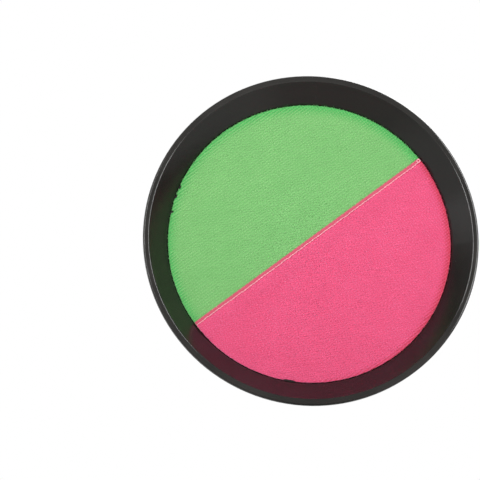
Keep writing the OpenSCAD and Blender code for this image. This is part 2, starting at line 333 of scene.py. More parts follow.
def painted_rim_shade(tree, where, lit_colour, hex_shaded, rim_shade):
    """Painted shade, deeper by the rim where the wall shades the fabric, and the lit colour elsewhere."""
    width, fade, left, shadow_tooth = rim_shade
    flat = add(tree, "Mapping", {"Vector": where, "Scale": (1.0, 0.0, 1.0),
                                 "Location": (left * MM, 0.0, 0.0)})
    off_centre = add(tree, "VectorMath", {0: flat.outputs["Vector"]}, operation="LENGTH")
    # Painted shadows: the band's inner edge is toothed row by row, as the shadows between rows of hooks
    shadow_teeth = add(tree, "TexWave", {"Vector": along_seam(tree, where), "Distortion": 0.4,
                                  "Scale": WAVE * per_mm(SHADOW_TOOTH_PITCH)}, bands_direction="Z")
    shadow_bite = add(tree, "MapRange", {"Value": shadow_teeth.outputs["Fac"], "To Min": -0.5 * shadow_tooth * MM,
                                  "To Max": 0.5 * shadow_tooth * MM})
    shadow_toothed = add(tree, "Math", {0: off_centre.outputs["Value"], 1: shadow_bite.outputs["Result"]}, operation="ADD")
    lit_share = add(tree, "MapRange", {"Value": shadow_toothed.outputs[0], "From Min": (FACE_R - width + fade) * MM,
                                  "From Max": (FACE_R - width) * MM})
    return blend(tree, lit_share.outputs["Result"], hex_shaded, lit_colour)


def hook_ground(name, hex_thread, hex_gap, hex_lap, hex_shaded, hex_sheen, rim_shade):
    # Woven nylon ground of hook tape: warp across the seam and weft along it, bound tight, dyed strongly,
    # with a soft sheen, a paler shade of the same colour, where light grazes the fibres
    material, tree, where = new_material(name)
    turned = along_seam(tree, where)
    warp = add(tree, "TexWave", {"Vector": turned, "Distortion": 0.6, "Scale": WAVE * per_mm(ROW_PITCH)},
               bands_direction="X")
    weft = add(tree, "TexWave", {"Vector": turned, "Distortion": 0.6, "Scale": WAVE * per_mm(HOOK_PITCH)},
               bands_direction="Z")
    weave = add(tree, "Math", {0: warp.outputs["Fac"], 1: weft.outputs["Fac"]}, operation="MULTIPLY")
    dye = mottle(tree, where, 14, detail=4.0)
    shade = add(tree, "Math", {0: dye, 1: weave.outputs[0], 2: 0.25}, operation="MULTIPLY_ADD")
    colour = blend(tree, shade.outputs[0], hex_gap, hex_thread)
    bump = relief(tree, weave.outputs[0], strength=0.6, depth=0.15)
    # The lap beside the stitches is pressed flat and bare of hooks, so it looks duller
    across = add(tree, "SeparateXYZ", {"Vector": turned}).outputs["Z"]
    off_lap = add(tree, "Math", {0: across, 1: 0.5 * LAP * MM}, operation="SUBTRACT")
    aside = add(tree, "Math", {0: off_lap.outputs[0]}, operation="ABSOLUTE")
    pressed = add(tree, "MapRange", {"Value": aside.outputs[0], "From Min": 0.65 * LAP * MM,
                                     "From Max": 0.5 * LAP * MM})
    lapped = blend(tree, pressed.outputs["Result"], colour, hex_lap)
    # Painted shade: the ground's colour deepens by the rim, where the wall shades it
    rim_shaded = painted_rim_shade(tree, where, lapped, hex_shaded, rim_shade)
    return finished(material, {"Base Color": rim_shaded, "Roughness": 0.62, "Sheen Weight": 0.7,
                               "Sheen Roughness": 0.5, "Sheen Tint": linear(hex_sheen), "Normal": bump,
                               "IOR": 1.53})


def hook_filament(name, hex_light, hex_deep, hex_shaded, hex_sheen, rim_shade):
    # Cut nylon monofilament: each hook a little clearer than the ground, so it looks paler; its paler colour
    # is also partly a painted sheen of lit tips. The dye takes unevenly from hook to hook, and by the rim it
    # is painted deeper, as painted shade where the wall shades the fabric.
    material, tree, where = new_material(name)
    each = mottle(tree, where, 1.6, detail=1.0)
    wash = mottle(tree, where, 30, detail=3.0)
    both = add(tree, "Math", {0: each, 1: wash}, operation="MULTIPLY")
    fade = add(tree, "MapRange", {"Value": both.outputs[0], "From Min": 0.12, "From Max": 0.42})
    # Painted sheen: the hooks' light colour stands partly for the sheen of their lit tips
    colour = blend(tree, fade.outputs["Result"], hex_deep, hex_light)
    # Painted shade: the hooks' colour deepens by the rim, where the wall shades them
    rim_shaded = painted_rim_shade(tree, where, colour, hex_shaded, rim_shade)
    return finished(material, {"Base Color": rim_shaded, "Roughness": 0.55, "Sheen Weight": 0.7,
                               "Sheen Roughness": 0.5, "Sheen Tint": linear(hex_sheen), "IOR": 1.53})


def fused_edge():
    # Nylon cut with a hot knife: the edge runs into a hard, glossy bead, paler where it has blistered
    material, tree, where = new_material("hot_cut_pink_edge")
    blister = mottle(tree, where, 1.1)
    colour = blend(tree, blister, "#c43c5a", "#e07c8a")
    return finished(material, {"Base Color": colour, "Roughness": 0.35, "IOR": 1.53})


def sewing_thread(name, hex_light, hex_deep):
    # Spun polyester thread: a soft sheen, with stray fibres over the twist, whose scattered light is painted
    # into the colour as a paler mottle, a painted sheen
    material, tree, where = new_material(name)
    fibre = mottle(tree, where, 0.4, detail=3.0)
    colour = blend(tree, fibre, hex_deep, hex_light)
    return finished(material, {"Base Color": colour, "Roughness": 0.5, "Sheen Weight": 0.3,
                               "Normal": relief(tree, fibre, strength=0.4, depth=0.05)})


def polypropylene_webbing():
    # Webbing woven from bulked polypropylene yarn: black with a dull sheen, each float combed into fine
    # filaments along the yarn, and grey lint in the hollows
    material, tree, where = new_material("black_polypropylene_webbing", uv_map="weave")
    # The filaments are about 0.05 mm, drawn as 0.25 mm streaks
    combed = add(tree, "Mapping", {"Vector": where, "Scale": (per_mm(0.25), per_mm(2.5), 1.0)})
    streak = add(tree, "TexNoise", {"Vector": combed.outputs["Vector"], "Scale": 1.0, "Detail": 2.0})
    lint = mottle(tree, where, 5, detail=5.0)
    yarn = blend(tree, streak.outputs["Fac"], "#161616", "#343434")
    dusty = add(tree, "MapRange", {"Value": lint, "From Min": 0.55, "From Max": 0.9, "To Max": 0.35})
    colour = blend(tree, dusty.outputs["Result"], yarn, "#55534f")
    bump = relief(tree, streak.outputs["Fac"], strength=0.35, depth=0.06)
    return finished(material, {"Base Color": colour, "Roughness": 0.55, "Sheen Weight": 0.25,
                               "Sheen Roughness": 0.45, "Normal": bump, "IOR": 1.49})


def black_tape(name, hex_light, hex_deep):
    # Black nylon tape: a knitted backing whose loops or hooks break it up into small lit tips and dark gaps,
    # painted into its colour as a mottle of painted light and shade
    material, tree, where = new_material(name)
    tuft = mottle(tree, where, 0.9, detail=3.0)
    colour = blend(tree, tuft, hex_deep, hex_light)
    return finished(material, {"Base Color": colour, "Roughness": 0.6, "Sheen Weight": 0.35,
                               "Normal": relief(tree, tuft, strength=0.4, depth=0.1), "IOR": 1.53})


MOULDED = satin_polypropylene()
ANCHOR = glass_filled_nylon()
STEEL = zinc_plated_steel()
GLUE = adhesive_film()
GREEN_SHEEN = "#cdebc2"
PINK_SHEEN = "#fcc4dc"
GREEN_GROUND = hook_ground("green_woven_ground", "#92cf81", "#66b25f", "#5aa854", "#42b454", GREEN_SHEEN,
                           GREEN_RIM_SHADE)
PINK_GROUND = hook_ground("pink_woven_ground", "#f55c8f", "#dc3f6f", "#d04a68", "#cf2348", PINK_SHEEN,
                          PINK_RIM_SHADE)
GREEN_HOOK = hook_filament("green_nylon_filament", "#b3dc9d", "#89c97c", "#6ecf72", GREEN_SHEEN,
                           GREEN_RIM_SHADE)
PINK_HOOK = hook_filament("pink_nylon_filament", "#ff8cc2", "#f55f98", "#e02f55", PINK_SHEEN, PINK_RIM_SHADE)
PINK_EDGE = fused_edge()
PINK_THREAD = sewing_thread("pale_pink_polyester_thread", "#ffbfcd", "#fb98ae")
GREY_THREAD = sewing_thread("charcoal_polyester_thread", "#565656", "#303030")
WEBBING = polypropylene_webbing()
LOOP_TAPE = black_tape("black_loop_pile", "#3b3b3d", "#19191a")
HOOK_TAPE = black_tape("black_hook_tape", "#303032", "#131314")


# Making and placing pieces

def turn(angle, axis):
    return Matrix.Rotation(angle, 4, axis)


def verts_in(geom):
    return [g for g in geom if isinstance(g, bmesh.types.BMVert)]


def ring_edges(bm, ring):
    """The edges that join the vertices of a ring."""
    return [e for e in bm.edges if all(v in ring for v in e.verts)]


def mesh_of(bm, name):
    mesh = bpy.data.meshes.new(name)
    bm.to_mesh(mesh)
    bm.free()
    return mesh


def piece(name, bm, place, material, body, crease=None):
    """A finished piece: the model laid in the row frame, painted, and riding on its body."""
    bmesh.ops.transform(bm, matrix=place, verts=bm.verts)
    mesh = mesh_of(bm, name)
    mesh.materials.append(material)
    mesh.shade_smooth()
    if crease:
        mesh.set_sharp_from_angle(angle=crease)
    obj = bpy.data.objects.new(name, mesh)
    bpy.context.scene.collection.objects.link(obj)
    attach(obj, body)
    return obj


def scatter(bm, shape, places):
    """Adds a copy of a small mesh at each place."""
    flat = [0.0] * (3 * len(shape.vertices))
    shape.vertices.foreach_get("co", flat)
    for place in places:
        shape.vertices.foreach_set("co", flat)
        shape.transform(place)
        bm.from_mesh(shape)
    shape.vertices.foreach_set("co", flat)


def filament(name, stem, bend_r, bend, steps, thick, tail=0.0):
    """A bent filament with three sides: a stem up Z, a bend towards X, and a straight tail or a point."""
    bm = bmesh.new()
    bmesh.ops.create_circle(bm, segments=3, radius=thick / 2)
    top = verts_in(bmesh.ops.extrude_edge_only(bm, edges=bm.edges[:])["geom"])
    bmesh.ops.translate(bm, verts=top, vec=(0, 0, stem))
    bent = bmesh.ops.spin(bm, geom=top + ring_edges(bm, top), cent=(bend_r, 0, stem), axis=(0, 1, 0),
                          angle=bend, steps=steps)
    tip = verts_in(bent["geom_last"])
    if tail:
        end = verts_in(bmesh.ops.extrude_edge_only(bm, edges=ring_edges(bm, tip))["geom"])
        bmesh.ops.translate(bm, verts=end, vec=(0, 0, -tail))
    else:
        point = sum((v.co for v in tip), Vector()) / len(tip)
        bmesh.ops.pointmerge(bm, verts=tip, merge_co=point)
    bmesh.ops.holes_fill(bm, edges=bm.edges, sides=3)
    bmesh.ops.recalc_face_normals(bm, faces=bm.faces)
    return mesh_of(bm, name)


def stitch(name, dive):
    """One stitch of two-ply thread along X, with both ends diving into their holes."""
    sides = 5
    steps = 11
    bm = bmesh.new()
    for half_turn in (0, math.pi):
        start = turn(half_turn, "X") @ Matrix.Translation((-STITCH_L / 2, 0.9 * PLY_R, 0))
        ring = bmesh.ops.create_circle(bm, segments=sides, radius=PLY_R,
                                       matrix=start @ turn(math.pi / 2, "Y"))["verts"]
        bmesh.ops.spin(bm, geom=ring + ring_edges(bm, ring), cent=(0, 0, 0), axis=(1, 0, 0),
                       dvec=(STITCH_L / steps, 0, 0), angle=2 * math.pi, steps=steps)
    bmesh.ops.holes_fill(bm, edges=bm.edges, sides=sides)
    bmesh.ops.recalc_face_normals(bm, faces=bm.faces)
    for v in bm.verts:
        v.co.z -= dive * THREAD_D * (2 * abs(v.co.x) / STITCH_L) ** 8
    return mesh_of(bm, name)


# The catch face, modelled flat: X along the seam, Y towards the green panel, Z out of the face
SEAM = Matrix.Translation((0, CLOTH_Y * MM, 0)) @ turn(math.pi / 2, "X") @ turn(SEAM_SLOPE, "Z") @ ROW


def ease(x):
    """A smooth step from 0 to 1."""
    x = min(max(x, 0.0), 1.0)
    return x * x * (3 - 2 * x)


def green_bed(x, y):
    """The underside of the green ground, which lies flat."""
    return 0.0


def pink_bed(x, y):
    """The underside of the pink ground: it climbs over the green allowance, and the stitches pull it in."""
    climb = LAP_RISE * ease((y + ALLOWANCE + RAMP_L) / RAMP_L)
    wave = 1 - PULL_WAVE * math.cos(2 * math.pi * x / STITCH_PITCH)
    return climb - PULL_DEPTH * math.exp(-(y / PULL_W) ** 2) * wave


def nick_depth(x, y):
    """How deep the nick is in the cut edge by this point of the face, and 0 where there is none."""
    deepest = 0.0
    for degrees, half_width, depth in NICKS:
        angle = math.radians(degrees) - SEAM_SLOPE
        if math.hypot(x - FACE_R * math.cos(angle), y - FACE_R * math.sin(angle)) < half_width:
            deepest = max(deepest, depth)
    return deepest


def ground_cloth(rows, bed, rng):
    """A panel's woven ground: a grid whose rows are chords of the round face, with a frayed, nicked edge."""
    columns = 72
    bm = bmesh.new()
    bmesh.ops.create_grid(bm, x_segments=columns, y_segments=len(rows) - 1, size=1)
    for v in bm.verts:
        across = v.co.x
        y = rows[round((v.co.y + 1) / 2 * (len(rows) - 1))]
        x = across * math.sqrt(FACE_R ** 2 - y ** 2)
        at_edge = abs(across) > 0.999
        if at_edge:
            cut = max(rng.uniform(0, FRAY), nick_depth(x, y))
            x *= 1 - cut / FACE_R
            y *= 1 - cut / FACE_R
        v.co = (x, y, bed(x, y))
    top = verts_in(bmesh.ops.extrude_face_region(bm, geom=bm.faces[:])["geom"])
    bmesh.ops.translate(bm, verts=top, vec=(0, 0, GROUND_T))
    bmesh.ops.recalc_face_normals(bm, faces=bm.faces)
    return bm


def chord_rows(low, high, step):
    """Rows from one distance off the seam to another, evenly spaced round the face's edge."""
    start, end = (math.asin(y / FACE_R) for y in (low, high))
    count = math.ceil((end - start) * FACE_R / step)
    return [FACE_R * math.sin(start + (end - start) * i / count) for i in range(count + 1)]


def hook_places(low, high, bed, rng):
    """Where a panel's hooks stand, row by row, each a little out of true."""
    places = []
    rows = int(2 * FACE_R / ROW_PITCH)
    for i in range(rows):
        row_x = (i + 0.5 - rows / 2) * ROW_PITCH
        facing = math.pi / 2 if i % 2 else -math.pi / 2
        for j in range(int((high - low) / HOOK_PITCH) + 1):
            x = row_x + rng.gauss(0, HOOK_DRIFT_ALONG)
            y = low + (j + 0.5 * (i % 2)) * HOOK_PITCH + rng.gauss(0, HOOK_DRIFT_ACROSS)
            heading = facing + rng.gauss(0, HOOK_TURN)
            lean = rng.gauss(0, HOOK_LEAN)
            size = rng.uniform(*HOOK_SIZES)
            crushed = rng.random() < CRUSHED_SHARE
            if y > high or math.hypot(x, y) > FACE_R - HOOK_MARGIN - nick_depth(x, y):
                continue
            height = size
            if crushed:
                height *= CRUSHED_H
                lean += CRUSHED_LEAN
            places.append(Matrix.Translation((x, y, bed(x, y) + HOOK_ROOT)) @ turn(heading, "Z")
                          @ turn(lean, "Y") @ Matrix.Diagonal((size, size, height, 1.0)))
    return places


def yarn_places(low, high, bed, rng):
    """Where loose ends of yarn stick out of a panel's cut edge, all the way round its arc."""
    places = []
    count = int(2 * math.pi * FACE_R / YARN_PITCH)
    for i in range(count):
        angle = 2 * math.pi * i / count + rng.gauss(0, YARN_DRIFT / FACE_R)
        radius = FACE_R - FRAY - rng.uniform(*YARN_INSETS)
        height = rng.uniform(*YARN_HEIGHTS) * GROUND_T
        swing = rng.gauss(0, YARN_TURN)
        tilt = math.pi / 2 - abs(rng.gauss(0, YARN_TURN))
        size = rng.uniform(*YARN_SIZES)
        x, y = radius * math.cos(angle), radius * math.sin(angle)
        if low < y < high and not nick_depth(x, y):
            places.append(Matrix.Translation((x, y, bed(x, y) + height)) @ turn(angle + swing, "Z")
                          @ turn(tilt, "Y") @ Matrix.Scale(size, 4))
    return places


FABRIC_HOOK = filament("fabric_hook", stem=HOOK_H - HOOK_REACH / 2, bend_r=HOOK_REACH / 2,
                       bend=math.radians(205), steps=4, thick=HOOK_THICK)
LOOSE_YARN = filament("loose_yarn", stem=0.5 * YARN_L, bend_r=YARN_L, bend=math.radians(30), steps=2,
                      thick=YARN_THICK)


def hook_panel(colour, ground_material, hook_material, rows, hook_low, hook_high, bed, seed):
    """One half of the catch face: its woven ground, the hooks that stand on it, and loose yarns at its edge.
    """
    rng = random.Random(seed)
    ground = piece(colour + "_fabric_ground", ground_cloth(rows, bed, rng), SEAM, ground_material, "paddle",
                   crease=math.radians(50))
    bm = bmesh.new()
    scatter(bm, FABRIC_HOOK, hook_places(hook_low, hook_high, bed, rng))
    hooks = piece(colour + "_fabric_hooks", bm, SEAM, hook_material, "paddle")
    bm = bmesh.new()
    scatter(bm, LOOSE_YARN, yarn_places(hook_low, hook_high, bed, rng))
    yarns = piece(colour + "_loose_yarns", bm, SEAM, hook_material, "paddle")
    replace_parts(ground, colour + "_hook_panel")
    return ground, [hooks, yarns]


# Rows of the grounds' meshes: coarse round the edge, fine by the seam. The last chord lies a hair inside the
# edge, so that it still has a length.
EDGE_STEP = 1.1
SEAM_STEP = 0.5
LAST_CHORD = 0.9995 * FACE_R
fine = [-ALLOWANCE - RAMP_L - SEAM_STEP + SEAM_STEP * i
        for i in range(int((ALLOWANCE + RAMP_L + SEAM_STEP + LAP) / SEAM_STEP) + 1)]
green_ground, green_strands = hook_panel("green", GREEN_GROUND, GREEN_HOOK,
                                         chord_rows(-ALLOWANCE, LAST_CHORD, EDGE_STEP),
                                         LAP + HOOK_MARGIN, FACE_R, green_bed, seed=21)
pink_ground, pink_strands = hook_panel("pink", PINK_GROUND, PINK_HOOK,
                                       chord_rows(-LAST_CHORD, fine[0], EDGE_STEP)[:-1] + fine,
                                       -FACE_R, -THREAD_D, pink_bed, seed=22)


def pink_edge_bead():
    """The hot-cut edge of the pink panel, run into a thin uneven bead along the seam."""
    length = 2 * (FACE_R - HOOK_MARGIN)
    bm = bmesh.new()
    bmesh.ops.create_cone(bm, cap_ends=True, segments=8, radius1=BEAD_R, radius2=BEAD_R, depth=length,
                          matrix=turn(math.pi / 2, "Y"))
    long_edges = [e for e in bm.edges if abs(e.verts[0].co.x - e.verts[1].co.x) > length / 2]
    bmesh.ops.subdivide_edges(bm, edges=long_edges, cuts=110)
    for v in bm.verts:
        swell = noise.noise(Vector((v.co.x / BEAD_WAVE_L, 0, BEAD_SEED))) * BEAD_SWELL
        v.co.y *= 1 + 0.5 * swell
        v.co.z *= BEAD_FLAT + swell
        v.co.y += LAP - BEAD_INSET + 0.3 * swell
        v.co.z += pink_bed(v.co.x, LAP) + GROUND_T / 2 + BEAD_RISE
    bmesh.ops.recalc_face_normals(bm, faces=bm.faces)
    return piece("pink_hot_cut_edge", bm, SEAM, PINK_EDGE, "paddle")


def back_tack():
    """A ring of thread, as back stitches leave it at the end of a row."""
    bm = bmesh.new()
    start = Matrix.Translation((TACK_R, 0, 0)) @ turn(math.pi / 2, "X")
    ring = bmesh.ops.create_circle(bm, segments=6, radius=TACK_THREAD_R, matrix=start)["verts"]
    bmesh.ops.spin(bm, geom=ring + ring_edges(bm, ring), cent=(0, 0, 0), axis=(0, 0, 1), angle=2 * math.pi,
                   steps=16, use_merge=True)
    bmesh.ops.recalc_face_normals(bm, faces=bm.faces)
    return mesh_of(bm, "back_tack")


def seam_thread():
    """The row of stitches across the face, with a ring of back stitches by the last one on the right."""
    rng = random.Random(24)
    one = stitch("seam_stitch", dive=0.5)
    count = int(2 * (FACE_R - SEAM_END) / STITCH_PITCH)
    pitch = 2 * (FACE_R - SEAM_END) / count
    height = CLOTH_T - 0.5 * THREAD_D
    tack_x = FACE_R - SEAM_END - TACK_R - THREAD_D / 2
    bm = bmesh.new()
    scatter(bm, one, [Matrix.Translation(((i + 0.5 - count / 2) * pitch, rng.gauss(0, SEAM_DRIFT), height))
                      @ turn(rng.gauss(*SEAM_SKEW), "Z") for i in range(count)])
    scatter(bm, back_tack(), [Matrix.Translation((tack_x, TACK_ASIDE, height))])
    obj = piece("seam_thread", bm, SEAM, PINK_THREAD, "paddle")
    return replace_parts(obj, "seam_stitches")


pink_edge_bead()
seam_thread()


# The strap, modelled in the row frame about the arch's centre: angles count from the crown towards +X

def arch_point(angle, radius):
    return Vector((ARCH_X + radius * math.sin(angle), radius * math.cos(angle) - ARCH_SINK, 0))


def arch_ways(angle):
    """The ways along the arch and out of it."""
    return Vector((math.cos(angle), -math.sin(angle), 0)), Vector((math.sin(angle), math.cos(angle), 0))


def on_arch(angle, radius, z, heading=0.0, inward=False):
    """A place on the strap: local X along it, local Z out of its face."""
    along, out = arch_ways(angle)
    if inward:
        out = -out
    turned = Matrix((along, out.cross(along), out)).transposed().to_4x4()
    point = arch_point(angle, radius) + Vector((0, 0, z))
    return Matrix.Translation(point) @ turned @ turn(heading, "Z")


def arc_points(radius, start, end):
    count = max(2, math.ceil(abs(end - start) * radius))
    return [arch_point(start + (end - start) * i / count, radius) for i in range(count + 1)]


def strap_line(inner_r, pin_angle, tip_angle):
    """The middle line of one strap: the sewn tail, the loop round the pin, and the arc out to its tip."""
    way = 1 if tip_angle > pin_angle else -1
    loop_r = TOUCH + WEB_T / 2
    pin = arch_point(pin_angle, inner_r - TOUCH)
    out = (arch_point(pin_angle, inner_r) - pin).normalized()
    along = Vector((out.y, -out.x, 0)) * way
    leave = pin_angle + way * NECK_L / inner_r
    tail = arc_points(inner_r - WEB_T / 2, pin_angle + way * TAIL_TURN, leave)
    heading = (tail[-1] - tail[-2]).normalized()

    def round_pin(angle):
        return pin + loop_r * (math.cos(angle) * along + math.sin(angle) * out)

    meet = round_pin(LOOP_START)
    falling = math.sin(LOOP_START) * along - math.cos(LOOP_START) * out
    neck = interpolate_bezier(tail[-1], tail[-1] + NECK_PULL * heading, meet - NECK_PULL * falling, meet, 12)
    turns = 24
    loop = [round_pin(LOOP_START - LOOP_WRAP * i / turns) for i in range(turns + 1)]
    main = arc_points(inner_r + WEB_T / 2, pin_angle, tip_angle)
    return tail + neck[1:] + loop[1:] + main[1:]


def folded_hem(line, fold_angle):
    """Turns the end of the upper strap's line back on itself, as its hem is."""
    fold_r = WEB_T / 2 + PLAY
    middle_r = UPPER_R + WEB_T / 2 + fold_r
    along, out = arch_ways(fold_angle)
    middle = arch_point(fold_angle, middle_r)
    turns = 8
    fold = [middle - fold_r * (math.sin(math.pi * i / turns) * along + math.cos(math.pi * i / turns) * out)
            for i in range(turns + 1)]
    back = arc_points(middle_r + fold_r, fold_angle, fold_angle + (HEM_L - WEB_T) / UPPER_R)
    return line + fold[1:] + back[1:]


def even_steps(line, step):
    """The same line with points a step apart, and its length."""
    reached = [0.0]
    for a, b in zip(line, line[1:]):
        reached.append(reached[-1] + (b - a).length)
    count = round(reached[-1] / step)
    points = []
    k = 0
    for i in range(count + 1):
        s = reached[-1] * i / count
        while k < len(line) - 2 and reached[k + 1] < s:
            k += 1
        share = (s - reached[k]) / (reached[k + 1] - reached[k])
        points.append(line[k].lerp(line[k + 1], share))
    return points, reached[-1]


def web_section():
    """Points round the webbing's section, as (z, height): its two faces and its rounded selvedges."""
    half = WEB_W / 2 - WEB_T / 2
    count = round(2 * half / WARP_W * WEAVE_STEPS)
    face = [(half * (2 * i / count - 1), WEB_T / 2) for i in range(count + 1)]
    edge = [(half + WEB_T / 2 * math.sin(a), WEB_T / 2 * math.cos(a))
            for a in (math.pi * i / 6 for i in range(1, 6))]
    one_side = face + edge
    return one_side + [(-z, -h) for z, h in one_side]


def webbing(name, line, body):
    """Woven webbing along a line: a tube of its flat section, with the crossings of the yarns in relief."""
    points, length = even_steps(line, WEFT_L / WEAVE_STEPS)
    section = web_section()
    rings = len(points)
    bm = bmesh.new()
    bmesh.ops.create_grid(bm, x_segments=len(section), y_segments=rings - 1, size=1)
    uv = bm.loops.layers.uv.new("weave")
    spot = {}
    for v in bm.verts:
        i = round((v.co.x + 1) / 2 * len(section))
        k = round((v.co.y + 1) / 2 * (rings - 1))
        spot[v] = (i, k)
    for face in bm.faces:
        for loop in face.loops:
            i, k = spot[loop.vert]
            z = section[i % len(section)][0]
            loop[uv].uv = (z * MM, length * k / (rings - 1) * MM)
    for v, (i, k) in spot.items():
        z, height = section[i % len(section)]
        ahead = points[min(k + 1, rings - 1)] - points[max(k - 1, 0)]
        out = Vector((-ahead.y, ahead.x, 0)).normalized()
        s = length * k / (rings - 1)
        weave = math.sin(math.pi * z / WARP_W) * math.sin(math.pi * s / WEFT_L)
        face_share = height / (WEB_T / 2)
        height += WEAVE_RELIEF * face_share * math.copysign(abs(weave) ** 0.7, weave * face_share)
        v.co = points[k] + out * height + Vector((0, 0, z))
    bmesh.ops.remove_doubles(bm, verts=bm.verts, dist=0.001)
    ends = [e for e in bm.edges if e.is_boundary]
    bmesh.ops.holes_fill(bm, edges=ends, sides=0)
    bmesh.ops.recalc_face_normals(bm, faces=bm.faces)
    obj = piece(name, bm, ROW, WEBBING, body, crease=math.radians(60))
    return obj, length


lower_line = strap_line(LOWER_R, LEFT_ANGLE, LOWER_TIP)
lower_webbing, lower_length = webbing("lower_strap_webbing", lower_line, "lower_strap_body")
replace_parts(lower_webbing, "lower_strap")
fold_angle = UPPER_TIP + (WEB_T + PLAY) / UPPER_R
upper_line = folded_hem(strap_line(UPPER_R, RIGHT_ANGLE, fold_angle), fold_angle)
upper_webbing, upper_length = webbing("upper_strap_webbing", upper_line, "upper_strap_body")
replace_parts(upper_webbing, "upper_strap")


# The stitches of the straps and of their patches
STRAP_STITCH = stitch("strap_stitch", dive=1.0)


def row_along(radius, start, end, z, inward):
    count = int((end - start) * radius / STITCH_PITCH)
    step = STITCH_PITCH / radius
    first = (start + end - (count - 1) * step) / 2
    return [on_arch(first + i * step, radius, z, 0.0, inward) for i in range(count)]


def row_across(radius, angle, width, inward):
    count = int(width / STITCH_PITCH)
    return [on_arch(angle, radius, (i + 0.5 - count / 2) * STITCH_PITCH, math.pi / 2, inward)
            for i in range(count)]


def stitch_box(radius, start, end, width, inward=False):
    """The places of a rectangle of stitches on one face of the strap."""
    places = []
    for z in (-width / 2, width / 2):
        places += row_along(radius, start, end, z, inward)
    for angle in (start, end):
        places += row_across(radius, angle, width, inward)
    return places


def tail_boxes(strap_r, box):
    """The same rectangle of stitches on the outside of a strap and on its tail's inside."""
    outside = stitch_box(strap_r + WEB_T + PROUD, *box)
    return outside + stitch_box(strap_r - WEB_T - PROUD, *box, inward=True)


def stitching(name, node, places, body):
    bm = bmesh.new()
    scatter(bm, STRAP_STITCH, places)
    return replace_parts(piece(name, bm, ROW, GREY_THREAD, body), node)


SEW_W = WEB_W - 2 * STITCH_INSET
PATCH_SEW_W = PATCH_W - 2 * STITCH_INSET
LOOP_R = PIN_R + LOOP_GAP + WEB_T
lower_box = (LEFT_ANGLE + (LOOP_R + 2 * STITCH_INSET) / LOWER_R,
             LEFT_ANGLE + TAIL_TURN - STITCH_INSET / LOWER_R, SEW_W)
upper_box = (RIGHT_ANGLE - TAIL_TURN + STITCH_INSET / UPPER_R,
             RIGHT_ANGLE - (LOOP_R + 2 * STITCH_INSET) / UPPER_R, SEW_W)
patch_box = (-PATCH_ANGLE + STITCH_INSET / LOWER_R, PATCH_ANGLE - STITCH_INSET / LOWER_R, PATCH_SEW_W)
hem_angle = UPPER_TIP + (HEM_L - STITCH_INSET) / UPPER_R
hem_rows = (row_across(UPPER_R + 2 * WEB_T + PLAY + PROUD, hem_angle, SEW_W, inward=False)
            + row_across(UPPER_R - PROUD, hem_angle, SEW_W, inward=True))
stitching("lower_tail_stitching", "lower_strap_stitches", tail_boxes(LOWER_R, lower_box), "lower_strap_body")
stitching("upper_tail_stitching", "upper_strap_stitches", tail_boxes(UPPER_R, upper_box) + hem_rows,
          "upper_strap_body")
stitching("loop_patch_stitching", "loop_patch_stitches",
          stitch_box(LOWER_R - PROUD, *patch_box, inward=True), "lower_strap_body")
stitching("hook_patch_stitching", "hook_patch_stitches", stitch_box(UPPER_R + WEB_T + PROUD, *patch_box),
          "upper_strap_body")


# The patches: a knitted backing on the webbing, with a pile of loops or rows of hooks

def backing(inner_r, outer_r):
    """A patch's backing, curved to the strap, with rounded corners."""
    bm = bmesh.new()
    bmesh.ops.create_grid(bm, x_segments=46, y_segments=34, size=0.5)
    corner_x = PATCH_L / 2 - PATCH_CORNER
    corner_z = PATCH_W / 2 - PATCH_CORNER
    for v in bm.verts:
        x, z = v.co.x * PATCH_L, v.co.y * PATCH_W
        over_x = abs(x) - corner_x
        over_z = abs(z) - corner_z
        if over_x > 0 and over_z > 0:
            pull = max(over_x, over_z) / math.hypot(over_x, over_z)
            x = math.copysign(corner_x + over_x * pull, x)
            z = math.copysign(corner_z + over_z * pull, z)
        v.co = arch_point(x / LOWER_R, inner_r) + Vector((0, 0, z))
    outer = verts_in(bmesh.ops.extrude_face_region(bm, geom=bm.faces[:])["geom"])
    centre = arch_point(0, 0)
    for v in outer:
        flat = Vector((v.co.x, v.co.y, 0)) - centre
        v.co += flat.normalized() * (outer_r - inner_r)
    bmesh.ops.recalc_face_normals(bm, faces=bm.faces)
    return bm


def pile(shape, radius, pitch, inward, seed):
    """Rows of loops or hooks on a patch, each turned a little out of true."""
    rng = random.Random(seed)
    rows = int((PATCH_L - 2 * PILE_MARGIN) / pitch)
    columns = int((PATCH_W - 2 * PILE_MARGIN) / pitch)
    places = []
    for i in range(rows):
        stagger = 0.25 * (-1) ** i
        for j in range(columns):
            angle = ((i + 0.5 - rows / 2) * pitch + rng.gauss(0, PILE_DRIFT)) / LOWER_R
            z = (j + 0.5 - columns / 2 + stagger) * pitch + rng.gauss(0, PILE_DRIFT)
            heading = math.pi * (i % 2) + rng.gauss(0, PILE_TURN)
            lean = turn(rng.gauss(0, PILE_LEAN), "Y")
            places.append(on_arch(angle, radius, z, heading, inward) @ lean)
    bm = bmesh.new()
    scatter(bm, shape, places)
    return bm


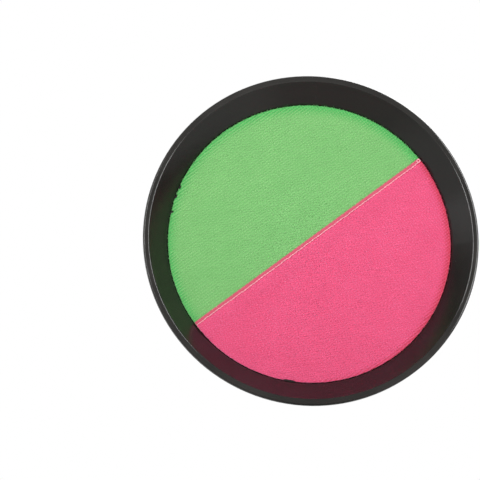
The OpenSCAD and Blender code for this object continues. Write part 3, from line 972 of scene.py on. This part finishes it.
TAPE_LOOP = filament("tape_loop", stem=PILE_H * 0.5, bend_r=PILE_H * 0.42, bend=math.pi, steps=5, thick=0.16,
                     tail=PILE_H * 0.5)
TAPE_HOOK = filament("tape_hook", stem=PILE_H * 0.55, bend_r=PILE_H * 0.36, bend=math.radians(200), steps=4,
                     thick=0.17)
loop_base = LOWER_R + WEB_T + PLAY
hook_base = UPPER_R - PLAY
loop_backing = piece("loop_patch_backing", backing(loop_base, loop_base + BACKING_T), ROW, LOOP_TAPE,
                     "lower_strap_body", crease=math.radians(50))
loop_pile = piece("loop_patch_pile", pile(TAPE_LOOP, loop_base + PILE_ROOT, LOOP_PITCH, False, seed=31), ROW,
                  LOOP_TAPE, "lower_strap_body")
hook_backing = piece("hook_patch_backing", backing(hook_base - BACKING_T, hook_base), ROW, HOOK_TAPE,
                     "upper_strap_body", crease=math.radians(50))
hook_rows = piece("hook_patch_hooks", pile(TAPE_HOOK, hook_base - PILE_ROOT, TAPE_HOOK_PITCH, True, seed=32),
                  ROW, HOOK_TAPE, "upper_strap_body")
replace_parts(loop_backing, "loop_patch")
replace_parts(hook_backing, "hook_patch")


# Moulded and turned pieces: the solids of the frame with their edges broken

def softened(node, name, width, material):
    """A solid of the frame with its sharp edges rounded, as moulding and tumbling leave them."""
    bm = bmesh.new()
    bm.from_mesh(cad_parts[node].data)
    bmesh.ops.remove_doubles(bm, verts=bm.verts, dist=0.002 * MM)
    bmesh.ops.dissolve_limit(bm, angle_limit=math.radians(0.3), verts=bm.verts, edges=bm.edges)
    obj = piece(name, bm, Matrix.Identity(4), material, "paddle", crease=math.radians(30))
    rounding = obj.modifiers.new("broken_edges", "BEVEL")
    rounding.width = width * MM
    rounding.segments = 2
    rounding.limit_method = "ANGLE"
    rounding.angle_limit = math.radians(35)
    rounding.harden_normals = True
    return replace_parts(obj, node)


for side in ("left", "right"):
    softened(side + "_strap_anchor", side + "_anchor_moulding", ANCHOR_EDGE, ANCHOR)
    softened(side + "_strap_pin", side + "_steel_pin", PIN_EDGE, STEEL)

for node, material in (("dish", MOULDED), ("adhesive_sheet", GLUE), ("anchor_rivets", STEEL),
                       ("rivet_washers", STEEL)):
    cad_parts[node].material_slots[0].material = material


# The stage, in metres and watts: a pale floor under the rim, a white surround and soft lamps
FLOOR_HALF = 4.0
FLOOR_FADE = (0.4, 1.4)
FLOOR_Z = -(RIM_R + 0.2) * MM
# The direction of the room's lit left wall
LEFT_WALL = (-0.99, -0.07, -0.05)
# Each lamp's name, place, width, height and power
SOFTBOXES = [("right_softbox", (1.03, -1.22, 0.38), 0.4, 1.3, 18),
             ("left_softbox", (-1.07, -1.16, 0.25), 0.4, 1.3, 20.5),
             ("back_softbox", (0.9, 1.6, 1.4), 1.2, 1.2, 28)]


def stage_floor():
    """A pale matt floor that fades into the surround. It shows from above only, because the camera of the
    photograph is below it."""
    material, tree, where = new_material("pale_matt_floor")
    paint = add(tree, "BsdfDiffuse", {"Color": linear("#c4c4c2")})
    clear = add(tree, "BsdfTransparent")
    side = add(tree, "NewGeometry").outputs["Backfacing"]
    away = add(tree, "VectorMath", {0: where}, operation="LENGTH")
    fade = add(tree, "MapRange", {"Value": away.outputs["Value"], "From Min": FLOOR_FADE[0],
                                  "From Max": FLOOR_FADE[1]}, interpolation_type="SMOOTHSTEP")
    gone = add(tree, "Math", {0: side, 1: fade.outputs["Result"]}, operation="MAXIMUM")
    both = add(tree, "MixShader", {0: gone.outputs[0], 1: paint.outputs[0], 2: clear.outputs[0]})
    add(tree, "OutputMaterial", {"Surface": both.outputs[0]})
    bm = bmesh.new()
    bmesh.ops.create_grid(bm, x_segments=1, y_segments=1, size=FLOOR_HALF)
    bmesh.ops.translate(bm, verts=bm.verts, vec=(0, 0, FLOOR_Z))
    mesh = mesh_of(bm, "floor")
    mesh.materials.append(material)
    floor = bpy.data.objects.new("floor", mesh)
    bpy.context.scene.collection.objects.link(floor)


def surround(low, high, room, glow):
    """A world that is white to the eye and lights the floor from overhead. Gloss mirrors a white backdrop
    and a dimmer room in front of it, whose left wall glows a little."""
    world = bpy.data.worlds.new("white_surround")
    world.use_nodes = True
    tree = world.node_tree
    tree.nodes.clear()
    path = add(tree, "LightPath").outputs
    mirrored = add(tree, "Math", {0: path["Is Glossy Ray"], 1: path["Is Transmission Ray"]},
                   operation="MAXIMUM")
    sight = add(tree, "TexCoord").outputs["Generated"]
    way = add(tree, "SeparateXYZ", {"Vector": sight})
    leftwards = add(tree, "VectorMath", {0: sight, 1: LEFT_WALL}, operation="DOT_PRODUCT")
    wall = add(tree, "MapRange", {"Value": leftwards.outputs["Value"], "From Min": 0.92, "To Max": glow},
               interpolation_type="SMOOTHSTEP")
    view = add(tree, "MapRange", {"Value": way.outputs["Y"], "From Min": -0.05, "From Max": 0.25,
                                  "To Min": room, "To Max": 1.0})
    light = add(tree, "MapRange", {"Value": way.outputs["Z"], "From Max": 0.9, "To Min": low,
                                   "To Max": high})
    seen = add(tree, "Math", {0: view.outputs["Result"], 1: wall.outputs["Result"]}, operation="ADD")
    unseen = add(tree, "Mix", {"Factor": mirrored.outputs[0], "A": light.outputs["Result"],
                               "B": seen.outputs[0]})
    level = add(tree, "Mix", {"Factor": path["Is Camera Ray"], "A": unseen.outputs["Result"], "B": 1.0})
    white = add(tree, "Background", {"Color": (1, 1, 1, 1), "Strength": level.outputs["Result"]})
    add(tree, "OutputWorld", {"Surface": white.outputs[0]})
    bpy.context.scene.world = world


def softbox(name, place, width, height, watts):
    """An area light that faces the paddle."""
    light = bpy.data.lights.new(name, "AREA")
    light.shape = "RECTANGLE"
    light.size = width
    light.size_y = height
    light.energy = watts
    lamp = bpy.data.objects.new(name, light)
    lamp.location = place
    lamp.rotation_mode = "QUATERNION"
    lamp.rotation_quaternion = (-Vector(place)).to_track_quat("-Z", "Y")
    bpy.context.scene.collection.objects.link(lamp)


def photo_camera():
    """The photograph's camera: a long lens, a little left of the paddle and below it. The target is a point
    on the paddle's axis, with the pixel that it falls on."""
    azimuth, elevation = math.radians(-5.23), math.radians(-12.44)
    distance = 1.5
    frame_px = 480
    focal_px = 2658
    target_px = (311.2, 239.2)
    target_depth = 2.8
    target = Vector((0, (LIP_Y + target_depth) * MM, 0))
    back = Vector((math.sin(azimuth) * math.cos(elevation), -math.cos(azimuth) * math.cos(elevation),
                   math.sin(elevation)))
    lens = bpy.data.cameras.new("photo_camera")
    lens.sensor_width = 36
    lens.lens = focal_px * lens.sensor_width / frame_px
    lens.clip_start = 0.05
    camera = bpy.data.objects.new("photo_camera", lens)
    camera.location = target + distance * back
    yaw = math.atan((target_px[0] - frame_px / 2) / focal_px)
    pitch = math.atan((frame_px / 2 - target_px[1]) / focal_px)
    camera.rotation_mode = "QUATERNION"
    camera.rotation_quaternion = ((-back).to_track_quat("-Z", "Y") @ Quaternion((0, 1, 0), yaw)
                                  @ Quaternion((1, 0, 0), -pitch))
    bpy.context.scene.collection.objects.link(camera)
    bpy.context.scene.camera = camera


stage_floor()
surround(low=0.13, high=0.3, room=0.25, glow=0.5)
for softbox_values in SOFTBOXES:
    softbox(*softbox_values)
photo_camera()
bpy.context.scene.view_settings.view_transform = "Standard"
